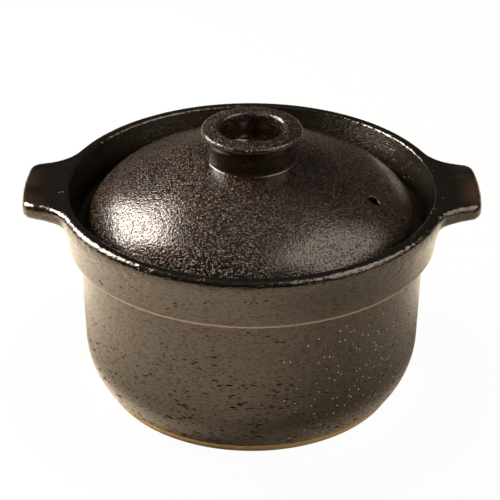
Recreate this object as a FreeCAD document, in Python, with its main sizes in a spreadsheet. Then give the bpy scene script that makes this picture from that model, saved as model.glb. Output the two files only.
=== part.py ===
# Clay rice pot with two lids, in millimetres.
# The origin is the middle of the foot, +Z is up and the two ears lie along X.
import FreeCAD, Part
import math
import os
import re
import Sketcher

DOC = FreeCAD.newDocument("clay_rice_pot")

# Driving dimensions: name, value, what it is.
DRIVING = [
    ("rim_height", 117.5, "foot to the top of the rim"),
    ("bowl_radius", 76.0, "cooking bowl under the lower ledge"),
    ("body_wall", 16.4, "wall of the body above the heel"),
    ("rim_wall", 6.8, "wall of the collar at the rim"),
    ("collar_lean", 4.8, "how much wider the collar is inside at the rim than at the ledge"),
    ("rim_outer_round", 3.2, "outer rounding of the rim and of the ear tops"),
    ("rim_inner_round", 1.5, "inner rounding of the rim"),
    ("foot_setback", 10.9, "how far the edge of the foot lies inside the body"),
    ("foot_band", 3.0, "height of the bare clay band above the table"),
    ("foot_bevel", 1.3, "how far the bare band leans out"),
    ("foot_ring_width", 21.5, "flat ring that the pot stands on"),
    ("foot_recess_depth", 2.0, "hollow inside that ring"),
    ("body_flare", 1.1, "how much wider the body is under the collar"),
    ("heel_height", 30.0, "where the round heel meets the wall"),
    ("heel_bend", 43.0, "radius of the round heel"),
    ("collar_height", 29.0, "rim down to the lower arris of the collar"),
    ("collar_step", 6.5, "how far the arris stands out from the body"),
    ("collar_step_slope", 1.5, "drop of the underside of the step"),
    ("collar_arris_round", 1.3, "rounding of the arris"),
    ("collar_step_fillet", 2.5, "hollow corner under the arris"),
    ("collar_sweep", 80.0, "radius of the hollow sweep of the collar"),
    ("collar_lip_drop", 13.0, "rim down to where the sweep turns out"),
    ("collar_lip_setback", 2.0, "how far that place lies inside the rim"),
    ("ear_length", 18.0, "rim to the tip of an ear"),
    ("ear_tip_half", 18.8, "axis of the pot to the centre of an ear corner"),
    ("ear_tip_bend", 160.0, "radius of the slightly bowed tip"),
    ("ear_corner_round", 7.5, "corner of an ear seen from above"),
    ("ear_flare", 25.0, "hollow side of an ear seen from above"),
    ("ear_thickness", 8.4, "ear at its tip"),
    ("ear_root_depth", 9.1, "ear at its root"),
    ("ear_root_reach", 3.0, "rim to where the cove under the ear ends"),
    ("ear_cove", 5.5, "radius of the cove under an ear"),
    ("ear_under_round", 3.0, "lower rounding of rim and ears"),
    ("floor_thickness", 12.0, "foot plane to the cooking floor"),
    ("bowl_taper", 1.5, "how much narrower the bowl is near its floor"),
    ("bowl_bend", 38.0, "radius between bowl wall and floor"),
    ("lid_sink", 22.5, "rim down to the seat of the outer lid"),
    ("upper_ledge_width", 13.4, "width of that seat"),
    ("ledge_drop", 7.0, "from there down to the seat of the inner lid"),
    ("lower_ledge_width", 4.0, "width of that seat"),
    ("ledge_round", 0.9, "rounding of both ledge edges"),
    ("trough_fillet", 3.0, "corner between upper ledge and collar"),
    ("lid_gap", 5.4, "outer lid to the collar, at the ledge"),
    ("lid_skirt", 5.8, "upright edge of the outer lid above its seat"),
    ("lid_wall", 7.5, "wall of the outer lid"),
    ("lid_edge_bend", 10.0, "bend above the upright edge"),
    ("lid_edge_turn", 55.0, "slope in degrees where that bend ends"),
    ("lid_shoulder_bend", 43.4, "radius of the shoulder of the dome"),
    ("lid_dome_bend", 170.0, "radius of the crown of the dome"),
    ("lid_seat_draft", 1.0, "how far the upright edge leans in at its foot"),
    ("lid_seat_round", 1.6, "rounding of the seat ring"),
    ("knob_height", 18.5, "foot of the knob to its top"),
    ("knob_radius", 27.0, "widest place of the knob"),
    ("knob_overhang", 3.3, "how far its lip stands out from its neck"),
    ("knob_lip_depth", 4.0, "top of the knob to the underside of its lip"),
    ("knob_lip_slope", 3.0, "height of the slope under the lip"),
    ("knob_top_fall", 1.2, "how much the ring falls towards its outside"),
    ("knob_lip_round", 1.9, "outer rounding of the lip"),
    ("knob_neck_fillet", 3.0, "hollow under the lip"),
    ("knob_foot_fillet", 1.2, "hollow where the neck meets the dome"),
    ("knob_ring_width", 9.8, "outside of the knob to the mouth of its hollow"),
    ("knob_bore_taper", 1.7, "how much narrower the hollow is at its floor"),
    ("knob_bore_depth", 17.0, "depth of the hollow"),
    ("knob_bore_round", 2.3, "rounding of its mouth"),
    ("knob_bore_fillet", 5.0, "corner at its floor"),
    ("steam_hole_width", 5.6, "steam hole of the outer lid"),
    ("steam_hole_inset", 19.6, "edge of the lid to the middle of that hole"),
    ("steam_hole_turn", -20.8, "its direction in degrees from +X"),
    ("steam_hole_round", 0.8, "softened edge of every steam hole"),
    ("lid_clearance", 0.6, "gap round the inner lid"),
    ("inner_lid_thickness", 6.5, "inner lid at its edge"),
    ("inner_lid_seat", 11.0, "width of the flat ring it sits on"),
    ("inner_lid_crown", 5.0, "how much its middle is raised"),
    ("inner_lid_round", 1.4, "rounding of its edges"),
    ("inner_knob_height", 13.0, "knob of the inner lid"),
    ("inner_knob_radius", 14.0, "cap of that knob"),
    ("inner_knob_overhang", 4.5, "how far the cap stands out from its neck"),
    ("inner_knob_cap", 6.0, "height of the cap"),
    ("inner_knob_round", 2.6, "rounding of the cap"),
    ("inner_steam_width", 7.0, "steam holes of the inner lid"),
    ("inner_steam_distance", 40.0, "axis to those holes"),
    ("inner_steam_count", 2, "how many there are"),
    ("margin", 2.0, "how far a cut runs past the face that it opens"),
]

# Sizes worked out from the driving ones: name, formula.
DERIVED = [
    ("body_radius", "bowl_radius + body_wall"),
    ("foot_radius", "body_radius - foot_setback"),
    ("foot_recess_radius", "foot_radius - foot_ring_width"),
    ("floor_radius", "bowl_radius - bowl_taper - bowl_bend"),
    ("step_height", "rim_height - collar_height - collar_step_slope"),
    ("body_top_radius", "body_radius + body_flare"),
    ("arris_radius", "body_top_radius + collar_step"),
    ("upper_ledge_height", "rim_height - lid_sink"),
    ("lower_ledge_height", "upper_ledge_height - ledge_drop"),
    ("ledge_radius", "bowl_radius + lower_ledge_width"),
    ("trough_radius", "ledge_radius + upper_ledge_width"),
    ("rim_inner_radius", "trough_radius + collar_lean"),
    ("rim_radius", "rim_inner_radius + rim_wall"),
    ("ear_reach", "rim_radius + ear_length"),
    ("tip_centre", "ear_reach - ear_tip_bend"),
    ("corner_x", "tip_centre + sqrt(pow(ear_tip_bend - ear_corner_round; 2) - pow(ear_tip_half; 2))"),
    ("corner_far", "sqrt(pow(corner_x; 2) + pow(ear_tip_half; 2))"),
    ("waste_radius", "corner_far + ear_corner_round + margin"),
    ("flare_far", "rim_radius + ear_flare"),
    ("flare_gap", "ear_flare + ear_corner_round"),
    ("flare_part", "acos((pow(corner_far; 2) + pow(flare_far; 2) - pow(flare_gap; 2))"
     " / (2 * corner_far * flare_far))"),
    ("flare_turn", "atan2(ear_tip_half; corner_x) + flare_part"),
    ("flare_x", "flare_far * cos(flare_turn)"),
    ("flare_y", "flare_far * sin(flare_turn)"),
    ("tip_share", "ear_tip_bend / (ear_tip_bend - ear_corner_round)"),
    ("tip_end_x", "tip_centre + (corner_x - tip_centre) * tip_share"),
    ("tip_end_y", "ear_tip_half * tip_share"),
    ("corner_share", "ear_corner_round / flare_gap"),
    ("corner_end_x", "corner_x + (flare_x - corner_x) * corner_share"),
    ("corner_end_y", "ear_tip_half + (flare_y - ear_tip_half) * corner_share"),
    ("rim_end_x", "flare_x * rim_radius / flare_far"),
    ("rim_end_y", "flare_y * rim_radius / flare_far"),
    ("lid_edge_radius", "trough_radius - lid_gap"),
    ("steam_hole_distance", "lid_edge_radius - steam_hole_inset"),
    ("edge_sin", "sin(lid_edge_turn * 1 deg)"),
    ("edge_cos", "cos(lid_edge_turn * 1 deg)"),
    ("edge_x", "lid_edge_radius - lid_edge_bend"),
    ("edge_z", "upper_ledge_height + lid_skirt"),
    ("shoulder_x", "edge_x - (lid_shoulder_bend - lid_edge_bend) * edge_sin"),
    ("shoulder_z", "edge_z - (lid_shoulder_bend - lid_edge_bend) * edge_cos"),
    ("dome_gap", "lid_dome_bend - lid_shoulder_bend"),
    ("dome_sin", "shoulder_x / dome_gap"),
    ("dome_cos", "sqrt(1 - pow(dome_sin; 2))"),
    ("dome_z", "shoulder_z - dome_gap * dome_cos"),
    ("knob_neck_radius", "knob_radius - knob_overhang"),
    ("knob_bore_radius", "knob_radius - knob_ring_width"),
    ("knob_foot", "dome_z + sqrt(pow(lid_dome_bend; 2) - pow(knob_neck_radius; 2))"),
    ("knob_top", "knob_foot + knob_height"),
    ("inner_lid_radius", "ledge_radius - lid_clearance"),
    ("inner_lid_top", "lower_ledge_height + inner_lid_thickness"),
    ("inner_lid_ring", "inner_lid_radius - inner_lid_seat"),
    ("crown_bend", "(pow(inner_lid_ring; 2) + pow(inner_lid_crown; 2)) / (2 * inner_lid_crown)"),
    ("inner_knob_neck", "inner_knob_radius - inner_knob_overhang"),
    ("inner_knob_foot", "inner_lid_top + inner_lid_crown - crown_bend"
     " + sqrt(pow(crown_bend; 2) - pow(inner_knob_neck; 2))"),
    ("inner_knob_top", "inner_lid_top + inner_lid_crown + inner_knob_height"),
]

TINY = 0.01
FULL_TURN = 360.0
SAMPLES = 6


def make_sheet():
    """Write the dimensions into a sheet, each under its own name."""
    sheet = DOC.addObject("Spreadsheet::Sheet", "sizes")
    row = 1
    for name, number, meaning in DRIVING:
        sheet.set(f"A{row}", name)
        sheet.set(f"B{row}", str(number))
        sheet.set(f"C{row}", meaning)
        sheet.setAlias(f"B{row}", name)
        row += 1
    for name, formula in DERIVED:
        sheet.set(f"A{row}", name)
        sheet.set(f"B{row}", "=" + formula)
        sheet.setAlias(f"B{row}", name)
        row += 1
    DOC.recompute()
    return sheet


SHEET = make_sheet()


def size(formula):
    """The present value of a formula in the names of the sheet."""
    return float(SHEET.evalExpression(formula))


def bound(formula):
    """The same formula as an object outside the sheet has to write it."""
    names = {entry[0] for entry in DRIVING + DERIVED}

    def full_name(match):
        word = match.group()
        return f"sizes.{word}" if word in names else word

    return re.sub("[a-z_]+", full_name, formula)


def line_to(x, y):
    """One straight side of an outline, ending at x, y."""
    return ("line", x, y, None, None)


def arc_to(x, y, radius, turn):
    """One round side of an outline; turn is left or right on the way."""
    return ("arc", x, y, radius, turn)


def arc_between(start, end, radius, turn):
    """The shorter arc from start to end, with its middle left or right of the way."""
    chord = end - start
    rise = math.sqrt(max(radius ** 2 - (chord.Length / 2) ** 2, 0.0))
    left = FreeCAD.Vector(-chord.y, chord.x, 0).normalize()
    side = 1 if turn == "left" else -1
    centre = (start + end) / 2 + left * rise * side
    first, last = (start, end) if turn == "left" else (end, start)
    angles = [math.atan2(point.y - centre.y, point.x - centre.x) for point in (first, last)]
    circle = Part.Circle(centre, FreeCAD.Vector(0, 0, 1), radius)
    return Part.ArcOfCircle(circle, angles[0], angles[1])


def place_point(sketch, geometry, end, x, y):
    """Fix one end of a side to the formulas x and y."""
    for axis, formula, kind in ((-2, x, "DistanceX"), (-1, y, "DistanceY")):
        if formula == "0":
            sketch.addConstraint(Sketcher.Constraint("PointOnObject", geometry, end, axis))
        else:
            rule = Sketcher.Constraint(kind, -1, 1, geometry, end, size(formula))
            index = sketch.addConstraint(rule)
            sketch.setExpression(f"Constraints[{index}]", bound(formula))


def draw(body, name, plane_role, sides):
    """A closed outline on an origin plane, every corner bound to the sheet."""
    sketch = body.newObject("Sketcher::SketchObject", name)
    plane = [part for part in body.Origin.OriginFeatures if part.Role == plane_role][0]
    sketch.AttachmentSupport = [(plane, "")]
    sketch.MapMode = "FlatFace"
    corners = [FreeCAD.Vector(size(side[1]), size(side[2]), 0) for side in sides]
    joints = []
    for index, side in enumerate(sides):
        kind, x, y, radius, turn = side
        start, end = corners[index - 1], corners[index]
        first, last = 1, 2
        if kind == "line":
            geometry = sketch.addGeometry(Part.LineSegment(start, end), False)
        else:
            geometry = sketch.addGeometry(arc_between(start, end, size(radius), turn), False)
            if turn == "right":
                first, last = 2, 1
        joints.append((geometry, first, last, side))
    for index, (geometry, first, last, side) in enumerate(joints):
        before = joints[index - 1]
        rule = Sketcher.Constraint("Coincident", before[0], before[2], geometry, first)
        sketch.addConstraint(rule)
        place_point(sketch, geometry, last, side[1], side[2])
        if side[0] == "arc":
            rule = Sketcher.Constraint("Radius", geometry, size(side[3]))
            number = sketch.addConstraint(rule)
            sketch.setExpression(f"Constraints[{number}]", bound(side[3]))
    DOC.recompute()
    return sketch


def draw_circle(body, name, x, y, radius):
    """One circle on the foot plane."""
    sketch = body.newObject("Sketcher::SketchObject", name)
    plane = [part for part in body.Origin.OriginFeatures if part.Role == "XY_Plane"][0]
    sketch.AttachmentSupport = [(plane, "")]
    sketch.MapMode = "FlatFace"
    middle = FreeCAD.Vector(size(x), size(y), 0)
    circle = Part.Circle(middle, FreeCAD.Vector(0, 0, 1), size(radius))
    geometry = sketch.addGeometry(circle, False)
    place_point(sketch, geometry, 3, x, y)
    index = sketch.addConstraint(Sketcher.Constraint("Radius", geometry, size(radius)))
    sketch.setExpression(f"Constraints[{index}]", bound(radius))
    DOC.recompute()
    return sketch


def turn_solid(body, name, kind, sides):
    """Turn an outline round the axis of the pot, as clay or as waste."""
    sketch = draw(body, name + "_outline", "XZ_Plane", sides)
    feature = body.newObject(kind, name)
    feature.Profile = sketch
    feature.ReferenceAxis = (sketch, ["V_Axis"])
    feature.Angle = FULL_TURN
    DOC.recompute()
    return feature


def soften(body, name, edges, radius):
    """Round the named edges of the body as it is now."""
    before = body.Tip
    feature = body.newObject("PartDesign::Fillet", name)
    feature.Base = (before, edges)
    feature.setExpression("Radius", bound(radius))
    DOC.recompute()
    return feature


def rings(body, spots):
    """Names of the round edges at each (radius, height), given as formulas."""
    found = []
    for radius, height in spots:
        wanted = (size(radius), size(height))
        names = []
        for index, edge in enumerate(body.Tip.Shape.Edges):
            if edge.Degenerated or not isinstance(edge.Curve, Part.Circle):
                continue
            centre = edge.Curve.Center
            off_axis = math.hypot(centre.x, centre.y)
            gap = max(abs(edge.Curve.Radius - wanted[0]), abs(centre.z - wanted[1]), off_axis)
            if gap < TINY:
                names.append(f"Edge{index + 1}")
        if not names:
            raise RuntimeError(f"no round edge at {radius}, {height}")
        found += names
    return found


def outline_edges(body, lowest, highest):
    """Edges that run round the outside of rim and ears between two heights."""
    names = []
    limit = size("rim_radius") - TINY
    bottom, top = size(lowest), size(highest)
    for index, edge in enumerate(body.Tip.Shape.Edges):
        if edge.Degenerated:
            continue
        points = edge.discretize(SAMPLES)
        far = min(math.hypot(point.x, point.y) for point in points)
        low = min(point.z for point in points)
        high = max(point.z for point in points)
        travel = max((point - points[0]).Length for point in points)
        upright = high - low > travel - TINY
        radial = abs(math.hypot(points[-1].x, points[-1].y) - math.hypot(points[0].x, points[0].y))
        level = radial > travel - TINY
        if far > limit and low > bottom and high < top and not upright and not level:
            names.append(f"Edge{index + 1}")
    return names


def ear_outline():
    """Rim and both ears seen from above, anticlockwise from the right tip."""
    def quarter(sign_x, sign_y, backwards):
        flip_x = "" if sign_x > 0 else "-"
        flip_y = "" if sign_y > 0 else "-"
        points = [(flip_x + x, flip_y + y) for x, y in (("tip_end_x", "tip_end_y"),
                                                       ("corner_end_x", "corner_end_y"),
                                                       ("rim_end_x", "rim_end_y"))]
        return points[::-1] if backwards else points

    sides = []
    for sign_x, sign_y, backwards in ((1, 1, False), (-1, 1, True), (-1, -1, False), (1, -1, True)):
        points = quarter(sign_x, sign_y, backwards)
        if backwards:
            sides.append(arc_to(*points[0], "rim_radius", "left"))
            sides.append(arc_to(*points[1], "ear_flare", "right"))
            sides.append(arc_to(*points[2], "ear_corner_round", "left"))
        else:
            sides.append(arc_to(*points[0], "ear_tip_bend", "left"))
            sides.append(arc_to(*points[1], "ear_corner_round", "left"))
            sides.append(arc_to(*points[2], "ear_flare", "right"))
    return sides


def make_pot():
    """Body, collar and ears: one fired piece, turned outside and inside."""
    body = DOC.addObject("PartDesign::Body", "pot")
    body.Label = "pot"
    plan = draw(body, "plan", "XY_Plane", ear_outline())
    blank = body.newObject("PartDesign::Pad", "blank")
    blank.Profile = plan
    blank.setExpression("Length", bound("rim_height"))
    DOC.recompute()

    outside = [
        line_to("foot_radius", "-margin"),
        line_to("foot_radius", "0"),
        line_to("foot_radius + foot_bevel", "foot_band"),
        arc_to("body_radius", "heel_height", "heel_bend", "left"),
        line_to("body_top_radius", "step_height"),
        line_to("arris_radius", "rim_height - collar_height"),
        arc_to("rim_radius - collar_lip_setback", "rim_height - collar_lip_drop", "collar_sweep", "right"),
        arc_to("rim_radius + ear_root_reach", "rim_height - ear_root_depth", "ear_cove", "right"),
        line_to("waste_radius", "rim_height - ear_thickness"),
        line_to("waste_radius", "-margin"),
    ]
    turn_solid(body, "turned_outside", "PartDesign::Groove", outside)

    inside = [
        line_to("0", "floor_thickness"),
        line_to("floor_radius", "floor_thickness"),
        arc_to("bowl_radius - bowl_taper", "floor_thickness + bowl_bend", "bowl_bend", "left"),
        line_to("bowl_radius", "lower_ledge_height"),
        line_to("ledge_radius", "lower_ledge_height"),
        line_to("ledge_radius", "upper_ledge_height"),
        line_to("trough_radius", "upper_ledge_height"),
        line_to("rim_inner_radius", "rim_height - rim_inner_round"),
        arc_to("rim_inner_radius + rim_inner_round", "rim_height", "rim_inner_round", "right"),
        line_to("rim_inner_radius + rim_inner_round", "rim_height + margin"),
        line_to("0", "rim_height + margin"),
    ]
    turn_solid(body, "turned_inside", "PartDesign::Groove", inside)

    under = [
        line_to("0", "-margin"),
        line_to("foot_recess_radius", "-margin"),
        line_to("foot_recess_radius", "0"),
        line_to("foot_recess_radius - foot_recess_depth", "foot_recess_depth"),
        line_to("0", "foot_recess_depth"),
    ]
    turn_solid(body, "turned_foot", "PartDesign::Groove", under)

    top = outline_edges(body, "rim_height - rim_inner_round", "rim_height + margin")
    soften(body, "rim_rounding", top, "rim_outer_round")
    low = outline_edges(body, "rim_height - collar_lip_drop", "rim_height - rim_outer_round - margin")
    soften(body, "ear_under_rounding", low, "ear_under_round")
    arris = rings(body, [("arris_radius", "rim_height - collar_height")])
    soften(body, "arris_rounding", arris, "collar_arris_round")
    corner = rings(body, [("body_top_radius", "step_height")])
    soften(body, "step_fillet", corner, "collar_step_fillet")
    ledges = rings(body, [("bowl_radius", "lower_ledge_height"), ("ledge_radius", "upper_ledge_height")])
    soften(body, "ledge_rounding", ledges, "ledge_round")
    trough = rings(body, [("trough_radius", "upper_ledge_height")])
    soften(body, "trough_fillet_ring", trough, "trough_fillet")
    return body


def make_outer_lid():
    """Domed lid with a hollow ring knob and one steam hole."""
    body = DOC.addObject("PartDesign::Body", "outer_lid")
    body.Label = "outer_lid"
    edge_end = ("edge_x + lid_edge_bend * edge_sin", "edge_z + lid_edge_bend * edge_cos")
    crown_end = ("lid_dome_bend * dome_sin", "dome_z + lid_dome_bend * dome_cos")
    inner_edge = "lid_edge_bend - lid_wall"
    inner_edge_end = (f"edge_x + ({inner_edge}) * edge_sin", f"edge_z + ({inner_edge}) * edge_cos")
    inner_dome = "lid_dome_bend - lid_wall"
    inner_crown_end = (f"({inner_dome}) * dome_sin", f"dome_z + ({inner_dome}) * dome_cos")
    lip_under = "knob_top - knob_lip_depth"
    sides = [
        line_to("0", "knob_top - knob_bore_depth"),
        line_to("0", "dome_z + lid_dome_bend - lid_wall"),
        arc_to(*inner_crown_end, inner_dome, "right"),
        arc_to(*inner_edge_end, "lid_shoulder_bend - lid_wall", "right"),
        arc_to("lid_edge_radius - lid_wall", "edge_z", inner_edge, "right"),
        line_to("lid_edge_radius - lid_wall", "upper_ledge_height"),
        line_to("lid_edge_radius - lid_seat_draft", "upper_ledge_height"),
        line_to("lid_edge_radius", "edge_z"),
        arc_to(*edge_end, "lid_edge_bend", "left"),
        arc_to(*crown_end, "lid_shoulder_bend", "left"),
        arc_to("knob_neck_radius", "knob_foot", "lid_dome_bend", "left"),
        line_to("knob_neck_radius", f"{lip_under} - knob_lip_slope"),
        line_to("knob_radius", lip_under),
        line_to("knob_radius", "knob_top - knob_top_fall"),
        line_to("knob_bore_radius", "knob_top"),
        line_to("knob_bore_radius - knob_bore_taper", "knob_top - knob_bore_depth"),
    ]
    turn_solid(body, "turned_lid", "PartDesign::Revolution", sides)

    x = "steam_hole_distance * cos(steam_hole_turn * 1 deg)"
    y = "steam_hole_distance * sin(steam_hole_turn * 1 deg)"
    circle = draw_circle(body, "steam_circle", x, y, "steam_hole_width / 2")
    hole = body.newObject("PartDesign::Pocket", "steam_hole")
    hole.Profile = circle
    hole.Type = "ThroughAll"
    hole.Reversed = True
    DOC.recompute()

    seat = rings(body, [("lid_edge_radius - lid_wall", "upper_ledge_height"),
                        ("lid_edge_radius - lid_seat_draft", "upper_ledge_height")])
    soften(body, "seat_rounding", seat, "lid_seat_round")
    lip = rings(body, [("knob_radius", lip_under), ("knob_radius", "knob_top - knob_top_fall")])
    soften(body, "lip_rounding", lip, "knob_lip_round")
    mouth = rings(body, [("knob_bore_radius", "knob_top")])
    soften(body, "mouth_rounding", mouth, "knob_bore_round")
    neck = rings(body, [("knob_neck_radius", f"{lip_under} - knob_lip_slope")])
    soften(body, "neck_fillet", neck, "knob_neck_fillet")
    foot = rings(body, [("knob_neck_radius", "knob_foot")])
    soften(body, "foot_fillet", foot, "knob_foot_fillet")
    floor = rings(body, [("knob_bore_radius - knob_bore_taper", "knob_top - knob_bore_depth")])
    soften(body, "bore_fillet", floor, "knob_bore_fillet")
    soften(body, "steam_rounding", hole_edges(body, x, y, "steam_hole_width / 2"), "steam_hole_round")
    return body


def hole_edges(body, x, y, radius):
    """Edges of an upright hole, found by their distance from its middle line."""
    names = []
    for index, edge in enumerate(body.Tip.Shape.Edges):
        if edge.Degenerated:
            continue
        points = edge.discretize(SAMPLES)
        gaps = [abs(math.hypot(p.x - size(x), p.y - size(y)) - size(radius)) for p in points]
        sideways = max(math.hypot(p.x - points[0].x, p.y - points[0].y) for p in points)
        if max(gaps) < TINY and sideways > TINY:
            names.append(f"Edge{index + 1}")
    return names


def make_inner_lid():
    """Flat inner lid with a button knob and two steam holes."""
    body = DOC.addObject("PartDesign::Body", "inner_lid")
    body.Label = "inner_lid"
    cap_foot = "inner_knob_top - inner_knob_cap"
    sides = [
        line_to("0", "lower_ledge_height + inner_lid_crown"),
        arc_to("inner_lid_ring", "lower_ledge_height", "crown_bend", "right"),
        line_to("inner_lid_radius", "lower_ledge_height"),
        line_to("inner_lid_radius", "inner_lid_top"),
        line_to("inner_lid_ring", "inner_lid_top"),
        arc_to("inner_knob_neck", "inner_knob_foot", "crown_bend", "left"),
        line_to("inner_knob_neck", cap_foot),
        line_to("inner_knob_radius", cap_foot),
        line_to("inner_knob_radius", "inner_knob_top"),
        line_to("0", "inner_knob_top"),
    ]
    turn_solid(body, "turned_lid", "PartDesign::Revolution", sides)

    circle = draw_circle(body, "steam_circle", "inner_steam_distance", "0", "inner_steam_width / 2")
    hole = body.newObject("PartDesign::Pocket", "steam_hole")
    hole.Profile = circle
    hole.Type = "ThroughAll"
    hole.Reversed = True
    DOC.recompute()
    pattern = body.newObject("PartDesign::PolarPattern", "steam_holes")
    pattern.Originals = [hole]
    pattern.Axis = (circle, ["N_Axis"])
    pattern.Angle = FULL_TURN
    pattern.setExpression("Occurrences", bound("inner_steam_count"))
    body.Tip = pattern
    DOC.recompute()

    rim = rings(body, [("inner_lid_radius", "lower_ledge_height"), ("inner_lid_radius", "inner_lid_top")])
    soften(body, "rim_rounding", rim, "inner_lid_round")
    cap = rings(body, [("inner_knob_radius", cap_foot), ("inner_knob_radius", "inner_knob_top")])
    soften(body, "cap_rounding", cap, "inner_knob_round")
    return body


def check_and_write(bodies):
    """Stop on any failed object, then write one file for each piece."""
    DOC.recompute()
    for item in DOC.Objects:
        if "Invalid" in item.State or "Error" in item.State:
            raise RuntimeError(f"{item.Name} failed: {item.State}")
    for body in bodies:
        shape = body.Shape
        if shape.isNull() or not shape.isValid() or len(shape.Solids) != 1:
            raise RuntimeError(f"{body.Label} is not one valid solid")
    os.makedirs("parts", exist_ok=True)
    for body in bodies:
        body.Shape.exportStep(f"parts/{body.Label}.step")
        box = body.Shape.BoundBox
        print(f"{body.Label}: {body.Shape.Volume / 1000:.1f} cm3, "
              f"x {box.XMin:.1f} to {box.XMax:.1f}, y {box.YMin:.1f} to {box.YMax:.1f}, "
              f"z {box.ZMin:.1f} to {box.ZMax:.1f}")


check_and_write([make_pot(), make_outer_lid(), make_inner_lid()])
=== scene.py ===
# %% [markdown]
# # A clay rice pot
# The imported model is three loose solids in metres: the pot with its two ears, a domed outer lid and a flat
# inner lid. They are our fixed frame. Here the pot and the domed lid get finer meshes of the same form,
# and every surface gets its glaze or bare clay.

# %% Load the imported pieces
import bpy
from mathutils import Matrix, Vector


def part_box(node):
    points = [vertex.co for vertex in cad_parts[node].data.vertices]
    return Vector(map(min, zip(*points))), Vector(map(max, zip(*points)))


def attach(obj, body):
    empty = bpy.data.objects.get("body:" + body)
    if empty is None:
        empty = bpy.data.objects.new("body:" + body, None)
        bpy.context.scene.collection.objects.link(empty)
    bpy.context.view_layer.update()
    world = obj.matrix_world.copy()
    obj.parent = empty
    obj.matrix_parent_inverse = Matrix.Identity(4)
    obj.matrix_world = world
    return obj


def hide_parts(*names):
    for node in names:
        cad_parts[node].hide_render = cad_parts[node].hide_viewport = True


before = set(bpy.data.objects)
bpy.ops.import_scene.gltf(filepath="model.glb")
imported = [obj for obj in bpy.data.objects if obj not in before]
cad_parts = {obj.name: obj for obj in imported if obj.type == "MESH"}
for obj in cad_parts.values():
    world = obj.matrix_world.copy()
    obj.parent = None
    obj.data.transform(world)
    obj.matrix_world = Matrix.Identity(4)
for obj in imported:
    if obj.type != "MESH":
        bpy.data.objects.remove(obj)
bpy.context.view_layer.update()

# %% Modules, units and the boxes of the pieces
import math

import bmesh
import bpy
from mathutils import Matrix, Vector, noise

MM = 0.001
EAR_REACH, RIM_RADIUS, RIM_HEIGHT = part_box("pot")[1]
print(f"rim {RIM_RADIUS / MM:.1f} mm from the axis, ears {EAR_REACH / MM:.1f} mm")

# %% [markdown]
# ## Camera
# A long lens about a metre away flattens the ellipses of rim and lid. Its place, aim and small roll were
# fitted to the foot, the arris, the rim, the lid and the knob, so the pot falls where the photo shows it.

# %% Camera
CAMERA_PLACE = Vector((-0.87, -867.8, 573.5)) * MM
CAMERA_TARGET = Vector((-0.87, 0.0, 76.7)) * MM
CAMERA_ROLL = math.radians(0.19)

camera_data = bpy.data.cameras.new("camera")
camera_data.sensor_width = 36.0
camera_data.lens = 130.98
camera = bpy.data.objects.new("camera", camera_data)
bpy.context.scene.collection.objects.link(camera)
aim = (CAMERA_TARGET - CAMERA_PLACE).to_track_quat("-Z", "Y").to_matrix()
camera.location = CAMERA_PLACE
camera.rotation_euler = (aim @ Matrix.Rotation(CAMERA_ROLL, 3, "Z")).to_euler()
bpy.context.scene.camera = camera
bpy.context.scene.view_settings.view_transform = "Standard"
print(f"camera {CAMERA_PLACE.length:.2f} m from the foot, looking down "
      f"{math.degrees(math.asin((CAMERA_PLACE - CAMERA_TARGET).normalized().z)):.1f} degrees")

# %% [markdown]
# ## A small kit for node materials
# Each finish is a tree of a few nodes. One helper adds a node with its settings and links, so that
# a recipe below reads as a list of what feeds what.

# %% Node helpers
def new_material(name):
    """An empty node tree with its output node."""
    material = bpy.data.materials.new(name)
    material.use_nodes = True
    material.node_tree.nodes.clear()
    output = material.node_tree.nodes.new("ShaderNodeOutputMaterial")
    return material, material.node_tree, output


def add(tree, kind, inputs=None, **settings):
    """One node: settings are its properties, inputs are numbers, colours or sockets to link."""
    node = tree.nodes.new(kind)
    for name, value in settings.items():
        setattr(node, name, value)
    for name, value in (inputs or {}).items():
        socket = node.inputs[name]
        if isinstance(value, bpy.types.NodeSocket):
            tree.links.new(value, socket)
        else:
            socket.default_value = value
    return node


def ramp(tree, factor, stops):
    """A colour ramp from (place, colour) stops."""
    node = add(tree, "ShaderNodeValToRGB", {"Fac": factor})
    while len(node.color_ramp.elements) < len(stops):
        node.color_ramp.elements.new(0.5)
    for element, (place, colour) in zip(node.color_ramp.elements, stops):
        element.position = place
        element.color = colour if isinstance(colour, tuple) else (colour, colour, colour, 1.0)
    return node.outputs["Color"]


def math_node(tree, operation, first, second=0.0, third=0.0, clamp=False):
    """A Math node on numbers or sockets."""
    inputs = {0: first, 1: second, 2: third}
    return add(tree, "ShaderNodeMath", inputs, operation=operation, use_clamp=clamp).outputs[0]


def blend_colour(tree, factor, first, second):
    """A colour between two others."""
    node = add(tree, "ShaderNodeMix", data_type="RGBA")
    for socket, value in (("Factor", factor), ("A", first), ("B", second)):
        place = [s for s in node.inputs if s.name == socket and (s.type == "RGBA") == (socket != "Factor")][0]
        if isinstance(value, bpy.types.NodeSocket):
            tree.links.new(value, place)
        else:
            place.default_value = value
    return [s for s in node.outputs if s.type == "RGBA"][0]


def blend_number(tree, factor, first, second):
    """A number between two others."""
    return add(tree, "ShaderNodeMix", {0: factor, 2: first, 3: second}).outputs[0]


def smooth_step(tree, value, low, high):
    """0 at low, 1 at high, smooth between; low may be the larger of the two."""
    node = add(tree, "ShaderNodeMapRange", {"Value": value, "From Min": low, "From Max": high},
               interpolation_type="SMOOTHSTEP")
    return node.outputs["Result"]


print("node helpers ready")

# %% [markdown]
# Three more helpers stand for the patterns. Noise gives clouds, Voronoi gives cells with a distance to
# their middle and a colour of their own, and a bump tilts the normal as if the surface rose and fell.

# %% Pattern helpers
def noise_at(tree, place, scale, detail):
    """Clouds between 0 and 1."""
    return add(tree, "ShaderNodeTexNoise", {"Vector": place, "Scale": scale, "Detail": detail}).outputs["Fac"]


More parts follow.
